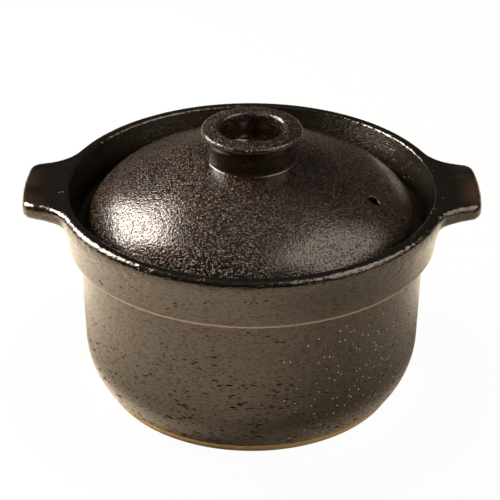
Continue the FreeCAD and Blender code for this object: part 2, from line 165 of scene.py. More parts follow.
def cells_at(tree, place, scale):
    """A cell pattern: the node, with its outputs Distance and Color."""
    return add(tree, "ShaderNodeTexVoronoi", {"Vector": place, "Scale": scale})


def cell_chance(tree, cells):
    """A number between 0 and 1 that each cell has to itself."""
    return add(tree, "ShaderNodeSeparateColor", {0: cells.outputs["Color"]}).outputs[0]


def bumped(tree, height, strength, distance, below=None, sunken=False):
    """The normal after one more bump on top of the one below."""
    inputs = {"Height": height, "Strength": strength, "Distance": distance}
    if below is not None:
        inputs["Normal"] = below
    return add(tree, "ShaderNodeBump", inputs, invert=sunken).outputs[0]


print("pattern helpers ready")

# %% [markdown]
# ## Table, lamps and surroundings
# A dark gloss glaze is seen by what it mirrors. The wall of the pot mirrors the pale table, lit by a large
# soft lamp behind on the left, whose own mirror image is the hot patch on the lid and the line on the rim.
# A weaker lamp on the right fills, and the rest of the room is dim, so the middle of the lid stays dark.
# The camera sees the table and the wall behind it white. Everything else sees the table as it is lit, with
# a painted shadow: a darker ring round the pot, which is what the heel mirrors.

# %% Floor
FLOOR_HALF = 6.0
FLOOR_PALE = (0.95, 0.83, 0.66, 1.0)
# The ring colour below is a painted shadow round the pot, which the heel mirrors.
FLOOR_PAINTED_SHADOW = (0.52, 0.44, 0.33, 1.0)
PAINTED_SHADOW_INSIDE = (94 * MM, 106 * MM)
PAINTED_SHADOW_OUTSIDE = (130 * MM, 146 * MM)
FLOOR_SEEN = 0.97

floor_mesh = bmesh.new()
bmesh.ops.create_grid(floor_mesh, x_segments=1, y_segments=1, size=FLOOR_HALF)
floor_data = bpy.data.meshes.new("floor")
floor_mesh.to_mesh(floor_data)
floor_mesh.free()
floor = bpy.data.objects.new("floor", floor_data)
bpy.context.scene.collection.objects.link(floor)

floor_material, tree, output = new_material("pale_floor_with_painted_shadow")
path = add(tree, "ShaderNodeLightPath")
place = add(tree, "ShaderNodeTexCoord").outputs["Object"]
distance = add(tree, "ShaderNodeVectorMath", {0: place}, operation="LENGTH").outputs["Value"]
# Painted shadow: the floor takes the ring colour between the inside and the outside radii.
off_painted_shadow = math_node(tree, "MAXIMUM", smooth_step(tree, distance, *PAINTED_SHADOW_OUTSIDE),
                     smooth_step(tree, distance, *reversed(PAINTED_SHADOW_INSIDE)))
floor_colour_with_painted_shadow = blend_colour(tree, off_painted_shadow, FLOOR_PAINTED_SHADOW, FLOOR_PALE)
lit = add(tree, "ShaderNodeBsdfDiffuse", {"Color": floor_colour_with_painted_shadow})
glow = add(tree, "ShaderNodeEmission", {"Color": (1.0, 1.0, 1.0, 1.0), "Strength": 1.0})
seen = math_node(tree, "MULTIPLY", path.outputs["Is Camera Ray"], FLOOR_SEEN)
floor_shader = add(tree, "ShaderNodeMixShader", {0: seen, 1: lit.outputs[0], 2: glow.outputs[0]})
tree.links.new(floor_shader.outputs[0], output.inputs["Surface"])
floor_data.materials.append(floor_material)
print(f"floor {2 * FLOOR_HALF:.0f} m across")

# %% Lamps
def soft_lamp(name, direction, distance, width, watts):
    """A square lamp, sizes in metres, that looks at the middle of the pot from the given direction."""
    data = bpy.data.lights.new(name, "AREA")
    data.shape = "SQUARE"
    data.size = width
    data.energy = watts
    lamp = bpy.data.objects.new(name, data)
    middle = Vector((0.0, 0.0, RIM_HEIGHT / 2))
    lamp.location = middle + Vector(direction).normalized() * distance
    lamp.rotation_euler = (middle - lamp.location).to_track_quat("-Z", "Y").to_euler()
    bpy.context.scene.collection.objects.link(lamp)
    return lamp


soft_lamp("key_lamp", (-0.70, 0.33, 0.63), 0.80, 0.46, 10.5)
soft_lamp("fill_lamp", (0.63, -0.11, 0.77), 1.00, 0.90, 5.2)

# %% Surroundings
ROOM_LOW = 0.035
ROOM_TOP = 0.15
ROOM_CLIMB = 0.70

world = bpy.data.worlds.new("studio")
bpy.context.scene.world = world
world.use_nodes = True
tree = world.node_tree
tree.nodes.clear()
output = add(tree, "ShaderNodeOutputWorld")
path = add(tree, "ShaderNodeLightPath")
place = add(tree, "ShaderNodeTexCoord")
height = add(tree, "ShaderNodeSeparateXYZ", {0: place.outputs["Generated"]})
sky = ramp(tree, height.outputs["Z"], [(0.0, ROOM_LOW), (ROOM_CLIMB, ROOM_LOW), (1.0, ROOM_TOP)])
room = add(tree, "ShaderNodeBackground", {"Color": sky, "Strength": 1.0})
white = add(tree, "ShaderNodeBackground", {"Color": (1.0, 1.0, 1.0, 1.0), "Strength": 1.0})
sky_mix = add(tree, "ShaderNodeMixShader", {0: path.outputs["Is Camera Ray"], 1: room.outputs[0],
                                           2: white.outputs[0]})
tree.links.new(sky_mix.outputs[0], output.inputs["Surface"])
print("world: a dim room, white behind the pot")

# %% [markdown]
# ## From a turned section to a mesh
# The pot and both lids are turned on a wheel, so each is one section swung round the axis. A section is
# a short list of corners: straight sides, arcs given by their radius, and a rounding at a corner.
# The helpers lay points along the sides and roundings, and the spin operator does the turning.

# %% Section helpers
ROUND_TURN = math.radians(14)


def line(r, z, rounding=0.0):
    """A straight side that ends at r, z in millimetres, with a rounding there."""
    return {"end": Vector((r, z)) * MM, "radius": None, "turn": 0, "rounding": rounding * MM}


def arc(r, z, radius, turn, rounding=0.0):
    """A round side that ends at r, z and bends left (1) or right (-1) on the way."""
    return {"end": Vector((r, z)) * MM, "radius": radius * MM, "turn": turn, "rounding": rounding * MM}


def along_arc(start, end, radius, turn, step):
    """Points on the way from start to end round an arc, without the start."""
    chord = end - start
    rise = math.sqrt(max(radius ** 2 - (chord.length / 2) ** 2, 0.0))
    left = Vector((-chord.y, chord.x)).normalized()
    centre = (start + end) / 2 + left * rise * turn
    sweep = 2 * math.asin(min(chord.length / 2 / radius, 1.0)) * turn
    count = max(2, math.ceil(abs(sweep) * radius / step))
    spoke = start - centre
    return [centre + Matrix.Rotation(sweep * i / count, 2) @ spoke for i in range(1, count + 1)]


def section_points(sides, step):
    """All points of a section, with long sides divided and corners rounded."""
    corners = [(sides[0]["end"], sides[0]["rounding"])]
    for side in sides[1:]:
        start = corners[-1][0]
        if side["radius"]:
            points = along_arc(start, side["end"], side["radius"], side["turn"], step)
        else:
            points = [side["end"]]
        corners += [(point, 0.0) for point in points[:-1]] + [(points[-1], side["rounding"])]
    rounded = []
    for index, (point, radius) in enumerate(corners):
        if radius:
            rounded += round_corner(corners[index - 1][0], point, corners[index + 1][0], radius)
        else:
            rounded.append(point)
    return divided(rounded, step)


def round_corner(before, corner, after, radius, count=None):
    """The points of a rounding between two straight sides, as many as asked or as the turn needs."""
    back = (before - corner).normalized()
    ahead = (after - corner).normalized()
    turn = math.pi - back.angle(ahead)
    reach = radius * math.tan(turn / 2)
    centre = corner + (back + ahead).normalized() * radius / math.cos(turn / 2)
    first = corner + back * reach - centre
    sense = 1 if back.x * ahead.y - back.y * ahead.x < 0 else -1
    count = count or max(3, math.ceil(turn / ROUND_TURN))
    return [centre + Matrix.Rotation(sense * turn * i / count, 2) @ first for i in range(count + 1)]


def divided(points, step):
    """The same line with no stretch longer than a step."""
    result = [points[0]]
    for point in points[1:]:
        count = max(1, math.ceil((point - result[-1]).length / step - 0.001))
        start = result[-1]
        result += [start.lerp(point, i / count) for i in range(1, count + 1)]
    return result


print("section helpers ready")

# %% Turning helper
def turned(bm, points, columns, layers=None):
    """Swing a section round the axis; layers name float values carried by its points."""
    vertices = []
    for index, point in enumerate(points):
        vertex = bm.verts.new((0.0, -max(point.x, 0.0), point.y))
        for layer, values in (layers or {}).items():
            vertex[layer] = values[index]
        vertices.append(vertex)
    edges = [bm.edges.new(pair) for pair in zip(vertices, vertices[1:])]
    bmesh.ops.spin(bm, geom=vertices + edges, cent=(0, 0, 0), axis=(0, 0, 1), angle=2 * math.pi,
                   steps=columns, use_merge=True, use_duplicate=False)
    bmesh.ops.remove_doubles(bm, verts=bm.verts, dist=0.002 * MM)


def finish_piece(bm, name, material):
    """Turn a bmesh into a smooth object that rides on the pot's body."""
    bmesh.ops.recalc_face_normals(bm, faces=bm.faces)
    data = bpy.data.meshes.new(name)
    bm.to_mesh(data)
    bm.free()
    data.shade_smooth()
    data.materials.append(material)
    piece = bpy.data.objects.new(name, data)
    bpy.context.scene.collection.objects.link(piece)
    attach(piece, "root")
    data.calc_loop_triangles()
    print(f"{name}: {len(data.vertices)} vertices, {len(data.loop_triangles)} triangles")
    return piece


print("turning helper ready")

# %% [markdown]
# ## The glazes
# The body wears a glossy black-brown glaze over coarse clay. It is almost black in itself, and its shine is
# tinted brown. The recipe is long, so its patterns come first, each as a function that gives back a number
# from 0 to 1. The material at the end puts them together.

# %% Colours of the body glaze and the clay
GLAZE_DARK = (0.0045, 0.0035, 0.0020, 1.0)
GLAZE_BROWN = (0.075, 0.042, 0.022, 1.0)
# The palest colour is thin glaze and also a painted highlight: it goes on the arris.
PALE_THIN_GLAZE_AND_HIGHLIGHT = (0.380, 0.335, 0.260, 1.0)
GLAZE_SHINE = (1.0, 0.74, 0.50, 1.0)
COAT_TINT = (1.0, 0.90, 0.78, 1.0)
PIT_BLACK = (0.002, 0.0015, 0.001, 1.0)
SPECK_CREAM = (0.800, 0.720, 0.580, 1.0)
CLAY_OCHRE = (0.920, 0.640, 0.300, 1.0)
CLAY_LIGHT = (0.900, 0.680, 0.380, 1.0)
CLAY_RED = (0.300, 0.095, 0.030, 1.0)
print("body glaze: darkest", GLAZE_DARK[:3], "palest", PALE_THIN_GLAZE_AND_HIGHLIGHT[:3])

# %% [markdown]
# Bubbles leave pits, drawn out along the wheel's direction, so height is stretched in their pattern, and
# there are more of them toward the heel. Cream specks of another mineral sit on the right of the wall:
# they are the cells of a pattern whose own chance is high enough.

# %% Pits and specks
WHEEL_STRETCH = (1.0, 1.0, 3.2)


def pits(tree, flat, height):
    """1 in a pit, on the stretched place."""
    pores = noise_at(tree, flat, 60.0, 2.0)
    low_down = smooth_step(tree, height, 85 * MM, 5 * MM)
    room = math_node(tree, "MULTIPLY_ADD", low_down, 0.20, -0.40)
    size = math_node(tree, "ADD", pores, room)
    depth = math_node(tree, "SUBTRACT", size, cells_at(tree, flat, 200.0).outputs["Distance"])
    return smooth_step(tree, depth, 0.0, 0.10)


def cream_specks(tree, place, parts):
    """1 in a speck, on the right of the wall below the collar."""
    region = math_node(tree, "MULTIPLY", smooth_step(tree, parts.outputs["X"], 0.0, 60 * MM),
                       smooth_step(tree, parts.outputs["Z"], 86 * MM, 60 * MM))
    cells = cells_at(tree, place, 340.0)
    luck = math_node(tree, "MULTIPLY", cell_chance(tree, cells), region)
    return math_node(tree, "MULTIPLY", smooth_step(tree, cells.outputs["Distance"], 0.18, 0.10),
                     math_node(tree, "GREATER_THAN", luck, 0.12))


print("pits and specks ready")

# %% [markdown]
# The potter wipes the foot clean, so the glaze ends in a wavy line just above it. While it is soft it also
# runs off the arris and the tips of the ears, where it stays thin and paler. On the arris the pale colour is
# also a painted highlight, the light line that the rounded edge catches. The mesh carries a value, thin,
# that says where.

# %% Glaze line, thin glaze and the painted arris highlight
GLAZE_LINE = 6.0 * MM
GLAZE_WOBBLE = 0.8 * MM


def above_line(tree, place, height):
    """Height above the line where the glaze ends, in metres."""
    wobble = noise_at(tree, place, 55.0, 3.0)
    edge = math_node(tree, "MULTIPLY_ADD", wobble, 2 * GLAZE_WOBBLE, GLAZE_LINE - GLAZE_WOBBLE)
    return math_node(tree, "SUBTRACT", height, edge)


def run_off_and_arris_highlight(tree, patches):
    """0 where the glaze is thick, 1 where it has run off; 1 on the arris, where the palest colour is a painted
    highlight.
    """
    thin = add(tree, "ShaderNodeAttribute", attribute_name="thin").outputs["Fac"]
    broken = math_node(tree, "MULTIPLY", thin, smooth_step(tree, patches, 0.40, 0.66))
    return math_node(tree, "MAXIMUM", broken, smooth_step(tree, thin, 0.38, 0.90))


print(f"glaze ends {GLAZE_LINE / MM:.1f} mm above the table")

# %% [markdown]
# Near the rim the glaze has run in waves, flatter on the ears and not on the wall inside. On the ledge, on
# which the lid stands, it is dull.

# %% Dull ledge and wavy rim
def ledge_and_rim(tree, place, height):
    """How dull and how wavy the glaze is."""
    level = add(tree, "ShaderNodeMapping", {"Vector": place, "Scale": (1.0, 1.0, 0.0)}).outputs[0]
    radius = add(tree, "ShaderNodeVectorMath", {0: level}, operation="LENGTH").outputs["Value"]
    inside = math_node(tree, "MULTIPLY", smooth_step(tree, radius, 98.9 * MM, 98.3 * MM),
                       smooth_step(tree, height, 88.0 * MM, 88.8 * MM))
    dull = math_node(tree, "MULTIPLY", inside, smooth_step(tree, height, 98.5 * MM, 96.5 * MM))
    outside = math_node(tree, "MAXIMUM", math_node(tree, "SUBTRACT", 1.0, inside),
                        smooth_step(tree, height, 115.4 * MM, 116.0 * MM))
    wavy = math_node(tree, "MULTIPLY", smooth_step(tree, height, 100 * MM, 106 * MM), outside)
    on_ear = math_node(tree, "MULTIPLY", smooth_step(tree, radius, 105 * MM, 111 * MM), 0.55)
    return dull, math_node(tree, "MULTIPLY", wavy, math_node(tree, "SUBTRACT", 1.0, on_ear))


print("ledge and rim ready")

# %% [markdown]
# Bare clay is ochre with lighter grains, and reddens where the glaze ends. Over it lies the glaze.

# %% Colour of the pot
def pot_colour(tree, place, above, glazed, glaze):
    """The glaze's colour above the line, clay below it."""
    near_line = smooth_step(tree, above, -0.8 * MM, -0.1 * MM)
    clay = blend_colour(tree, near_line, CLAY_OCHRE, CLAY_RED)
    clay = blend_colour(tree, smooth_step(tree, noise_at(tree, place, 900.0, 2.0), 0.35, 0.7), clay, CLAY_LIGHT)
    return blend_colour(tree, glazed, clay, glaze)


print("clay ready")

# %% [markdown]
# The shine has two layers: the tinted glaze, and a clear coat on it that makes the mirror images sharper.
# The coat is missing in pits, on clay, on the ledge and on fine flecks, which breaks up an even shine.

# %% Black-brown glaze with bare clay at the foot
def make_pot_glaze():
    """The material of the pot."""
    material, tree, output = new_material("black_brown_glaze")
    place = add(tree, "ShaderNodeTexCoord").outputs["Object"]
    parts = add(tree, "ShaderNodeSeparateXYZ", {0: place})
    height = parts.outputs["Z"]
    flat = add(tree, "ShaderNodeMapping", {"Vector": place, "Scale": WHEEL_STRETCH}).outputs[0]
    patches = noise_at(tree, place, 22.0, 3.0)
    peel = noise_at(tree, flat, 420.0, 3.0)
    pit = pits(tree, flat, height)
    above = above_line(tree, place, height)
    glazed = smooth_step(tree, above, -0.15 * MM, 0.15 * MM)
    dull, wavy = ledge_and_rim(tree, place, height)

    # The ramp ends in the palest colour, a painted highlight on the arris.
    glaze = ramp(tree, run_off_and_arris_highlight(tree, patches), [(0.0, GLAZE_DARK), (0.5, GLAZE_BROWN), (1.0, PALE_THIN_GLAZE_AND_HIGHLIGHT)])
    glaze = blend_colour(tree, cream_specks(tree, place, parts), glaze, SPECK_CREAM)
    glaze = blend_colour(tree, pit, glaze, PIT_BLACK)
    colour = pot_colour(tree, place, above, glazed, glaze)

    smooth = add(tree, "ShaderNodeMapRange", {"Value": patches, "To Min": 0.13, "To Max": 0.22}).outputs[0]
    rough = blend_number(tree, glazed, 0.85, math_node(tree, "MULTIPLY_ADD", pit, 0.70, smooth))
    rough = blend_number(tree, dull, rough, 0.80)
    fleck = math_node(tree, "MULTIPLY", smooth_step(tree, peel, 0.48, 0.66), 0.75)
    coat = math_node(tree, "SUBTRACT", math_node(tree, "SUBTRACT", glazed, fleck), pit, clamp=True)
    coat = math_node(tree, "SUBTRACT", coat, dull, clamp=True)

    normal = bumped(tree, peel, 1.0, 0.30 * MM)
    normal = bumped(tree, noise_at(tree, flat, 45.0, 2.0), 0.20, 0.8 * MM, normal)
    normal = bumped(tree, noise_at(tree, place, 210.0, 1.0), wavy, 0.55 * MM, normal)
    normal = bumped(tree, pit, 0.5, 0.4 * MM, normal, sunken=True)
    shader = add(tree, "ShaderNodeBsdfPrincipled", {
        "Base Color": colour, "Roughness": rough, "Normal": normal, "IOR": 1.6, "Specular Tint": GLAZE_SHINE,
        "Coat Weight": coat, "Coat Roughness": 0.06, "Coat IOR": 1.62, "Coat Tint": COAT_TINT,
        "Coat Normal": normal})
    tree.links.new(shader.outputs[0], output.inputs["Surface"])
    return material


pot_glaze = make_pot_glaze()
print("made", pot_glaze.name)

# %% [markdown]
# The domed lid wears another glaze: sandy, dark brown, with a dull metallic lustre. Grains about a millimetre
# wide stand up from it, each to its own height, and catch the lamp on one side, so the highlight breaks
# into sparks on a dark ground. The neck of the knob is smooth.

# %% Sandy lustre glaze of the domed lid
LUSTRE_DARK = (0.009, 0.005, 0.003, 1.0)
LUSTRE_BROWN = (0.064, 0.027, 0.012, 1.0)
LUSTRE_SHINE = (1.0, 0.85, 0.71, 1.0)
NECK_FOOT = 133.8 * MM
NECK_TOP = 146.5 * MM


def make_lid_glaze():
    """The material of the domed lid."""
    material, tree, output = new_material("sandy_lustre_glaze")
    place = add(tree, "ShaderNodeTexCoord").outputs["Object"]
    height = add(tree, "ShaderNodeSeparateXYZ", {0: place}).outputs["Z"]
    cells = cells_at(tree, place, 1050.0)
    grain = math_node(tree, "MULTIPLY", smooth_step(tree, cells.outputs["Distance"], 0.50, 0.15),
                      cell_chance(tree, cells))
    ripple = noise_at(tree, place, 700.0, 1.0)
    broad = noise_at(tree, place, 38.0, 3.0)
    pinhole = smooth_step(tree, cells_at(tree, place, 430.0).outputs["Distance"], 0.20, 0.10)
    neck = math_node(tree, "SUBTRACT", smooth_step(tree, height, NECK_FOOT - 1 * MM, NECK_FOOT + 1 * MM),
                     smooth_step(tree, height, NECK_TOP, NECK_TOP + 1 * MM))
    grainy = math_node(tree, "SUBTRACT", 1.0, neck)

    colour = blend_colour(tree, smooth_step(tree, ripple, 0.45, 0.65), LUSTRE_DARK, LUSTRE_BROWN)
    colour = blend_colour(tree, smooth_step(tree, broad, 0.35, 0.70), colour, LUSTRE_DARK)
    rough = add(tree, "ShaderNodeMapRange", {"Value": broad, "From Min": 0.3, "From Max": 0.7,
                                             "To Min": 0.13, "To Max": 0.20}).outputs[0]
    rough = math_node(tree, "ADD", rough, math_node(tree, "MULTIPLY", pinhole, 0.5), clamp=True)
    normal = bumped(tree, grain, grainy, 0.38 * MM)
    normal = bumped(tree, ripple, grainy, 0.21 * MM, normal)
    shader = add(tree, "ShaderNodeBsdfPrincipled", {
        "Base Color": colour, "Roughness": rough, "Normal": normal, "IOR": 1.8, "Specular Tint": LUSTRE_SHINE})
    tree.links.new(shader.outputs[0], output.inputs["Surface"])
    return material


lid_glaze = make_lid_glaze()
print("made", lid_glaze.name)

# %% [markdown]
# The inner lid is hidden by the dome. It gets a plain satin glaze with a little cloudiness.

# %% Satin glaze of the inner lid
SATIN_DARK = (0.030, 0.022, 0.016, 1.0)
SATIN_LIGHT = (0.070, 0.050, 0.036, 1.0)


def make_inner_glaze():
    """The material of the inner lid."""
    material, tree, output = new_material("satin_inner_glaze")
    place = add(tree, "ShaderNodeTexCoord").outputs["Object"]
    colour = blend_colour(tree, noise_at(tree, place, 60.0, 4.0), SATIN_DARK, SATIN_LIGHT)
    normal = bumped(tree, noise_at(tree, place, 420.0, 2.0), 0.4, 0.1 * MM)
    shader = add(tree, "ShaderNodeBsdfPrincipled", {"Base Color": colour, "Roughness": 0.38, "Normal": normal})
    tree.links.new(shader.outputs[0], output.inputs["Surface"])
    return material


inner_glaze = make_inner_glaze()
print("made", inner_glaze.name)

# %% [markdown]
# ## The pot
# The section goes from the middle of the underside round the foot, up the heel and the wall, out over the
# step to the collar, round the rim, and down inside over the two ledges to the cooking floor.
# The stretch round the rim is kept apart, because the ears are pulled out of it afterwards.

# %% Section of the pot
COLUMNS = 360
OUTSIDE_STEP = 1.5 * MM
INSIDE_STEP = 4.0 * MM

foot_to_lip = section_points([
    line(0.0, 2.0),
    line(58.0, 2.0),
    line(60.0, 0.05, 0.6),
    line(81.5, 0.0, 0.9),
    line(82.6, 2.6),
    line(83.0, 3.3, 0.3),
    arc(92.4, 30.0, 43.0, 1),
    line(93.5, 87.0, 2.5),
    line(100.0, 88.5, 1.3),
    arc(103.0, 104.5, 80.0, -1),
], OUTSIDE_STEP)
lip_to_floor = section_points([
    line(98.2, 116.0),
    line(93.4, 95.0, 3.0),
    line(80.0, 95.0, 0.9),
    line(80.0, 88.0, 0.6),
    line(76.0, 88.0, 0.9),
    line(74.5, 50.0),
    arc(36.5, 12.0, 38.0, -1),
    line(0.0, 12.0),
], INSIDE_STEP)
print(f"section: {len(foot_to_lip)} points outside, {len(lip_to_floor)} inside")

# %% [markdown]
# Round the rim the section is an upside-down U: the collar's lip turns outward in a small cove, then
# comes the lower rounding, a short upright edge, the larger upper rounding, the flat top and the
# inner rounding. Each stretch gets a number, its zone, and each point its share of the way.

# %% Section of the rim
COVE_CENTRE = Vector((108.26 * MM, RIM_HEIGHT - 14.59 * MM))
COVE_RADIUS = 5.5 * MM
LOWER_ROUND = 3.0 * MM
UPPER_ROUND = 3.2 * MM
INNER_ROUND = 1.5 * MM
TOP_INNER = 99.7 * MM
TIP_RISE = 0.7 * MM
INNER_ANGLES = [math.radians(15 * i) for i in range(1, 6)]
COVE, LOWER, EDGE, UPPER, TOP = 1, 2, 3, 4, 5
ZONE_STEPS = {COVE: 9, LOWER: 6, EDGE: 3, UPPER: 8, TOP: 10}


def lip_end(reach):
    """For an edge that far out: height of the lower rounding's middle and how far the rounding turns."""
    middle = reach - LOWER_ROUND
    if middle < COVE_CENTRE.x:
        level = COVE_CENTRE.y + math.sqrt((COVE_RADIUS + LOWER_ROUND) ** 2 - (COVE_CENTRE.x - middle) ** 2)
        turn = math.atan2(level - COVE_CENTRE.y, COVE_CENTRE.x - middle)
    else:
        level = COVE_CENTRE.y + COVE_RADIUS + LOWER_ROUND + underside_rise(middle)
        turn = math.pi / 2
    return level, turn


def underside_rise(radius):
    """The flat under an ear climbs a little towards the tip."""
    return TIP_RISE * max(radius - COVE_CENTRE.x, 0.0) / (EAR_REACH - COVE_CENTRE.x)


rim_points = []
rim_zones = []
rim_shares = []
level, last_turn = lip_end(RIM_RADIUS)
first_turn = math.atan2(foot_to_lip[-1].y - COVE_CENTRE.y, COVE_CENTRE.x - foot_to_lip[-1].x)
for zone, steps in ZONE_STEPS.items():
    for index in range(1, steps + 1):
        share = index / steps
        if zone == COVE:
            angle = first_turn + (last_turn - first_turn) * share
            point = COVE_CENTRE + COVE_RADIUS * Vector((-math.cos(angle), math.sin(angle)))
        elif zone == LOWER:
            angle = last_turn * (1 - share)
            point = Vector((RIM_RADIUS - LOWER_ROUND, level))
            point += LOWER_ROUND * Vector((math.cos(angle), -math.sin(angle)))
        elif zone == EDGE:
            point = Vector((RIM_RADIUS, level + (RIM_HEIGHT - UPPER_ROUND - level) * share))
        elif zone == UPPER:
            angle = math.pi / 2 * share
            point = Vector((RIM_RADIUS, RIM_HEIGHT)) - UPPER_ROUND * Vector((1.0, 1.0))
            point += UPPER_ROUND * Vector((math.cos(angle), math.sin(angle)))
        else:
            start = RIM_RADIUS - UPPER_ROUND
            point = Vector((start + (TOP_INNER - start) * share, RIM_HEIGHT))
        rim_points.append(point)
        rim_zones.append(zone)
        rim_shares.append(share)
inner_centre = Vector((TOP_INNER, RIM_HEIGHT - INNER_ROUND))
inner_lip = [inner_centre + INNER_ROUND * Vector((-math.sin(a), math.cos(a))) for a in INNER_ANGLES]
print(f"rim: {len(rim_points)} points")

# %% [markdown]
# ## Ears seen from above
# An ear is a chain of arcs that touch without a kink: the rim, a hollow flare, a round corner and a
# slightly bowed tip. For each direction from the axis we ask how far out that outline lies and which way
# it faces. Only one quarter is worked out; the others mirror it.

# %% Outline of rim and ears
TIP_BEND = 160.0 * MM
TIP_HALF = 18.8 * MM
CORNER_ROUND = 7.5 * MM
FLARE = 25.0 * MM

tip_centre = Vector((EAR_REACH - TIP_BEND, 0.0))
corner_centre = Vector((tip_centre.x + math.sqrt((TIP_BEND - CORNER_ROUND) ** 2 - TIP_HALF ** 2), TIP_HALF))
flare_far = RIM_RADIUS + FLARE
flare_gap = FLARE + CORNER_ROUND
flare_part = math.acos((corner_centre.length_squared + flare_far ** 2 - flare_gap ** 2)
                       / (2 * corner_centre.length * flare_far))
flare_turn = math.atan2(corner_centre.y, corner_centre.x) + flare_part
flare_centre = Vector((math.cos(flare_turn), math.sin(flare_turn))) * flare_far
corner_start = corner_centre + (corner_centre - tip_centre).normalized() * CORNER_ROUND
corner_end = corner_centre + (flare_centre - corner_centre).normalized() * CORNER_ROUND


def outline(angle):
    """The outline's point and outward direction on the ray at that angle from the axis."""
    ray = Vector((abs(math.cos(angle)), abs(math.sin(angle))))
    turn = math.atan2(ray.y, ray.x)
    if turn < math.atan2(corner_start.y, corner_start.x):
        centre, radius, side = tip_centre, TIP_BEND, 1
    elif turn < math.atan2(corner_end.y, corner_end.x):
        centre, radius, side = corner_centre, CORNER_ROUND, 1
    elif turn < flare_turn:
        centre, radius, side = flare_centre, FLARE, -1
    else:
        centre, radius, side = Vector((0.0, 0.0)), RIM_RADIUS, 1
    along = ray.dot(centre)
    reach = along + side * math.sqrt(max(along ** 2 - centre.length_squared + radius ** 2, 0.0))
    point = ray * reach
    facing = (point - centre).normalized() * side
    flip = Vector((math.copysign(1.0, math.cos(angle)), math.copysign(1.0, math.sin(angle))))
    return point * flip, facing * flip


print(f"ear tip {outline(0.0)[0].length / MM:.1f} mm, rim {outline(math.pi / 2)[0].length / MM:.1f} mm")

# %% [markdown]
# ## Throw the pot, then pull the ears
# The whole section is swung round the axis first. Then every vertex of the rim zones is moved to where
# its direction's outline asks: the roundings travel with the edge at their full size, and the top and the
# underside stretch between the fixed inner ring and the moved edge, as clay does when a lip is pulled.
# Between the ears there is no cove. There the collar leans on outward to the edge, as a plain wall.

# %% Under the ears and between them
def underside(radius):
    """Height of the cove and of the flat under the ears at a distance from the axis."""
    if radius < COVE_CENTRE.x:
        return COVE_CENTRE.y + math.sqrt(max(COVE_RADIUS ** 2 - (COVE_CENTRE.x - radius) ** 2, 0.0))
    return COVE_CENTRE.y + COVE_RADIUS + underside_rise(radius)


def plain_wall(height):
    """Distance from the axis of the wall between the ears, which bends upright at the edge."""
    foot, upright = foot_to_lip[-1], lip_end(RIM_RADIUS)[0]
    bend = RIM_HEIGHT - UPPER_ROUND - upright
    lean = (RIM_RADIUS - foot.x) / (upright - foot.y + bend / 2)
    over = max(height - upright, 0.0)
    return foot.x + lean * (height - foot.y - over ** 2 / (2 * bend))


print(f"cove {underside(RIM_RADIUS) / MM:.1f} mm above the table at the rim's edge")

# %% Pull the ears
EAR_START = 6.0 * MM


def pulled(x, y, zone, share):
    """The place of a rim vertex once the ears are pulled."""
    angle = math.atan2(y, x)
    ray = Vector((math.cos(angle), math.sin(angle)))
    edge, facing = outline(angle)
    level, turn = lip_end((edge - facing * LOWER_ROUND).length + LOWER_ROUND)
    if zone == COVE:
        start = ray * foot_to_lip[-1].x
        end = edge - facing * LOWER_ROUND * (1 - math.cos(turn))
        flat = start.lerp(end, share)
        target = level - LOWER_ROUND * math.sin(turn)
        slack = target - underside(end.length)
        height = underside(flat.length) + slack * share ** 2
    elif zone == LOWER:
        bend = turn * (1 - share)
        flat = edge - facing * LOWER_ROUND * (1 - math.cos(bend))
        height = level - LOWER_ROUND * math.sin(bend)
    elif zone == EDGE:
        flat = edge
        height = level + (RIM_HEIGHT - UPPER_ROUND - level) * share
    elif zone == UPPER:
        bend = math.pi / 2 * share
        flat = edge - facing * UPPER_ROUND * (1 - math.cos(bend))
        height = RIM_HEIGHT - UPPER_ROUND * (1 - math.sin(bend))
    else:
        flat = (edge - facing * UPPER_ROUND).lerp(ray * TOP_INNER, share)
        height = RIM_HEIGHT
    if zone in (COVE, LOWER, EDGE):
        ear = min(1.0, (edge.length - RIM_RADIUS) / EAR_START)
        flat = (ray * plain_wall(height)).lerp(flat, ear * ear * (3 - 2 * ear))
    return Vector((flat.x, flat.y, height))


tip = pulled(RIM_RADIUS, 0.0, EDGE, 1.0)
print(f"a vertex at the middle of the ear's edge goes out to {tip.x / MM:.1f} mm")

# %% [markdown]
# A thrown wall is never quite true. A slow noise moves it by up to 0.3 mm and faint rings run round it
# where the fingers went up. Both fade out at the foot and below the rim and leave the ledges alone,
# so the pot keeps its size and its lids keep their seats.

# %% Thrown wall
SWAY = 0.30 * MM
RINGS = 0.045 * MM
SWAY_INNER = 80 * MM
SWAY_FOOT, SWAY_TOP = 4 * MM, 104 * MM


def thrown(vertex):
    """Move a vertex of the outside wall in or out a little."""
    x, y, z = vertex.co
    radius = math.hypot(x, y)
    if radius < SWAY_INNER or z > SWAY_TOP:
        return
    fade = min(1.0, max(0.0, (z - SWAY_FOOT) / (10 * MM))) * min(1.0, (SWAY_TOP - z) / (6 * MM))
    slow = noise.noise(Vector((x, y, z * 0.6)) * 22.0)
    ring = noise.noise(Vector((x * 4.0, y * 4.0, z * 300.0)))
    shift = (slow * SWAY + ring * RINGS) * fade
    vertex.co.x += x / radius * shift
    vertex.co.y += y / radius * shift


print(f"the wall sways by up to {SWAY / MM:.2f} mm")

# %% Build the pot
# The arris band gets the palest glaze colour, a painted highlight on thin glaze.
ARRIS_HEIGHT = 89.2 * MM
ARRIS_HIGHLIGHT_BAND = 2.6 * MM
TIP_THIN = 0.35


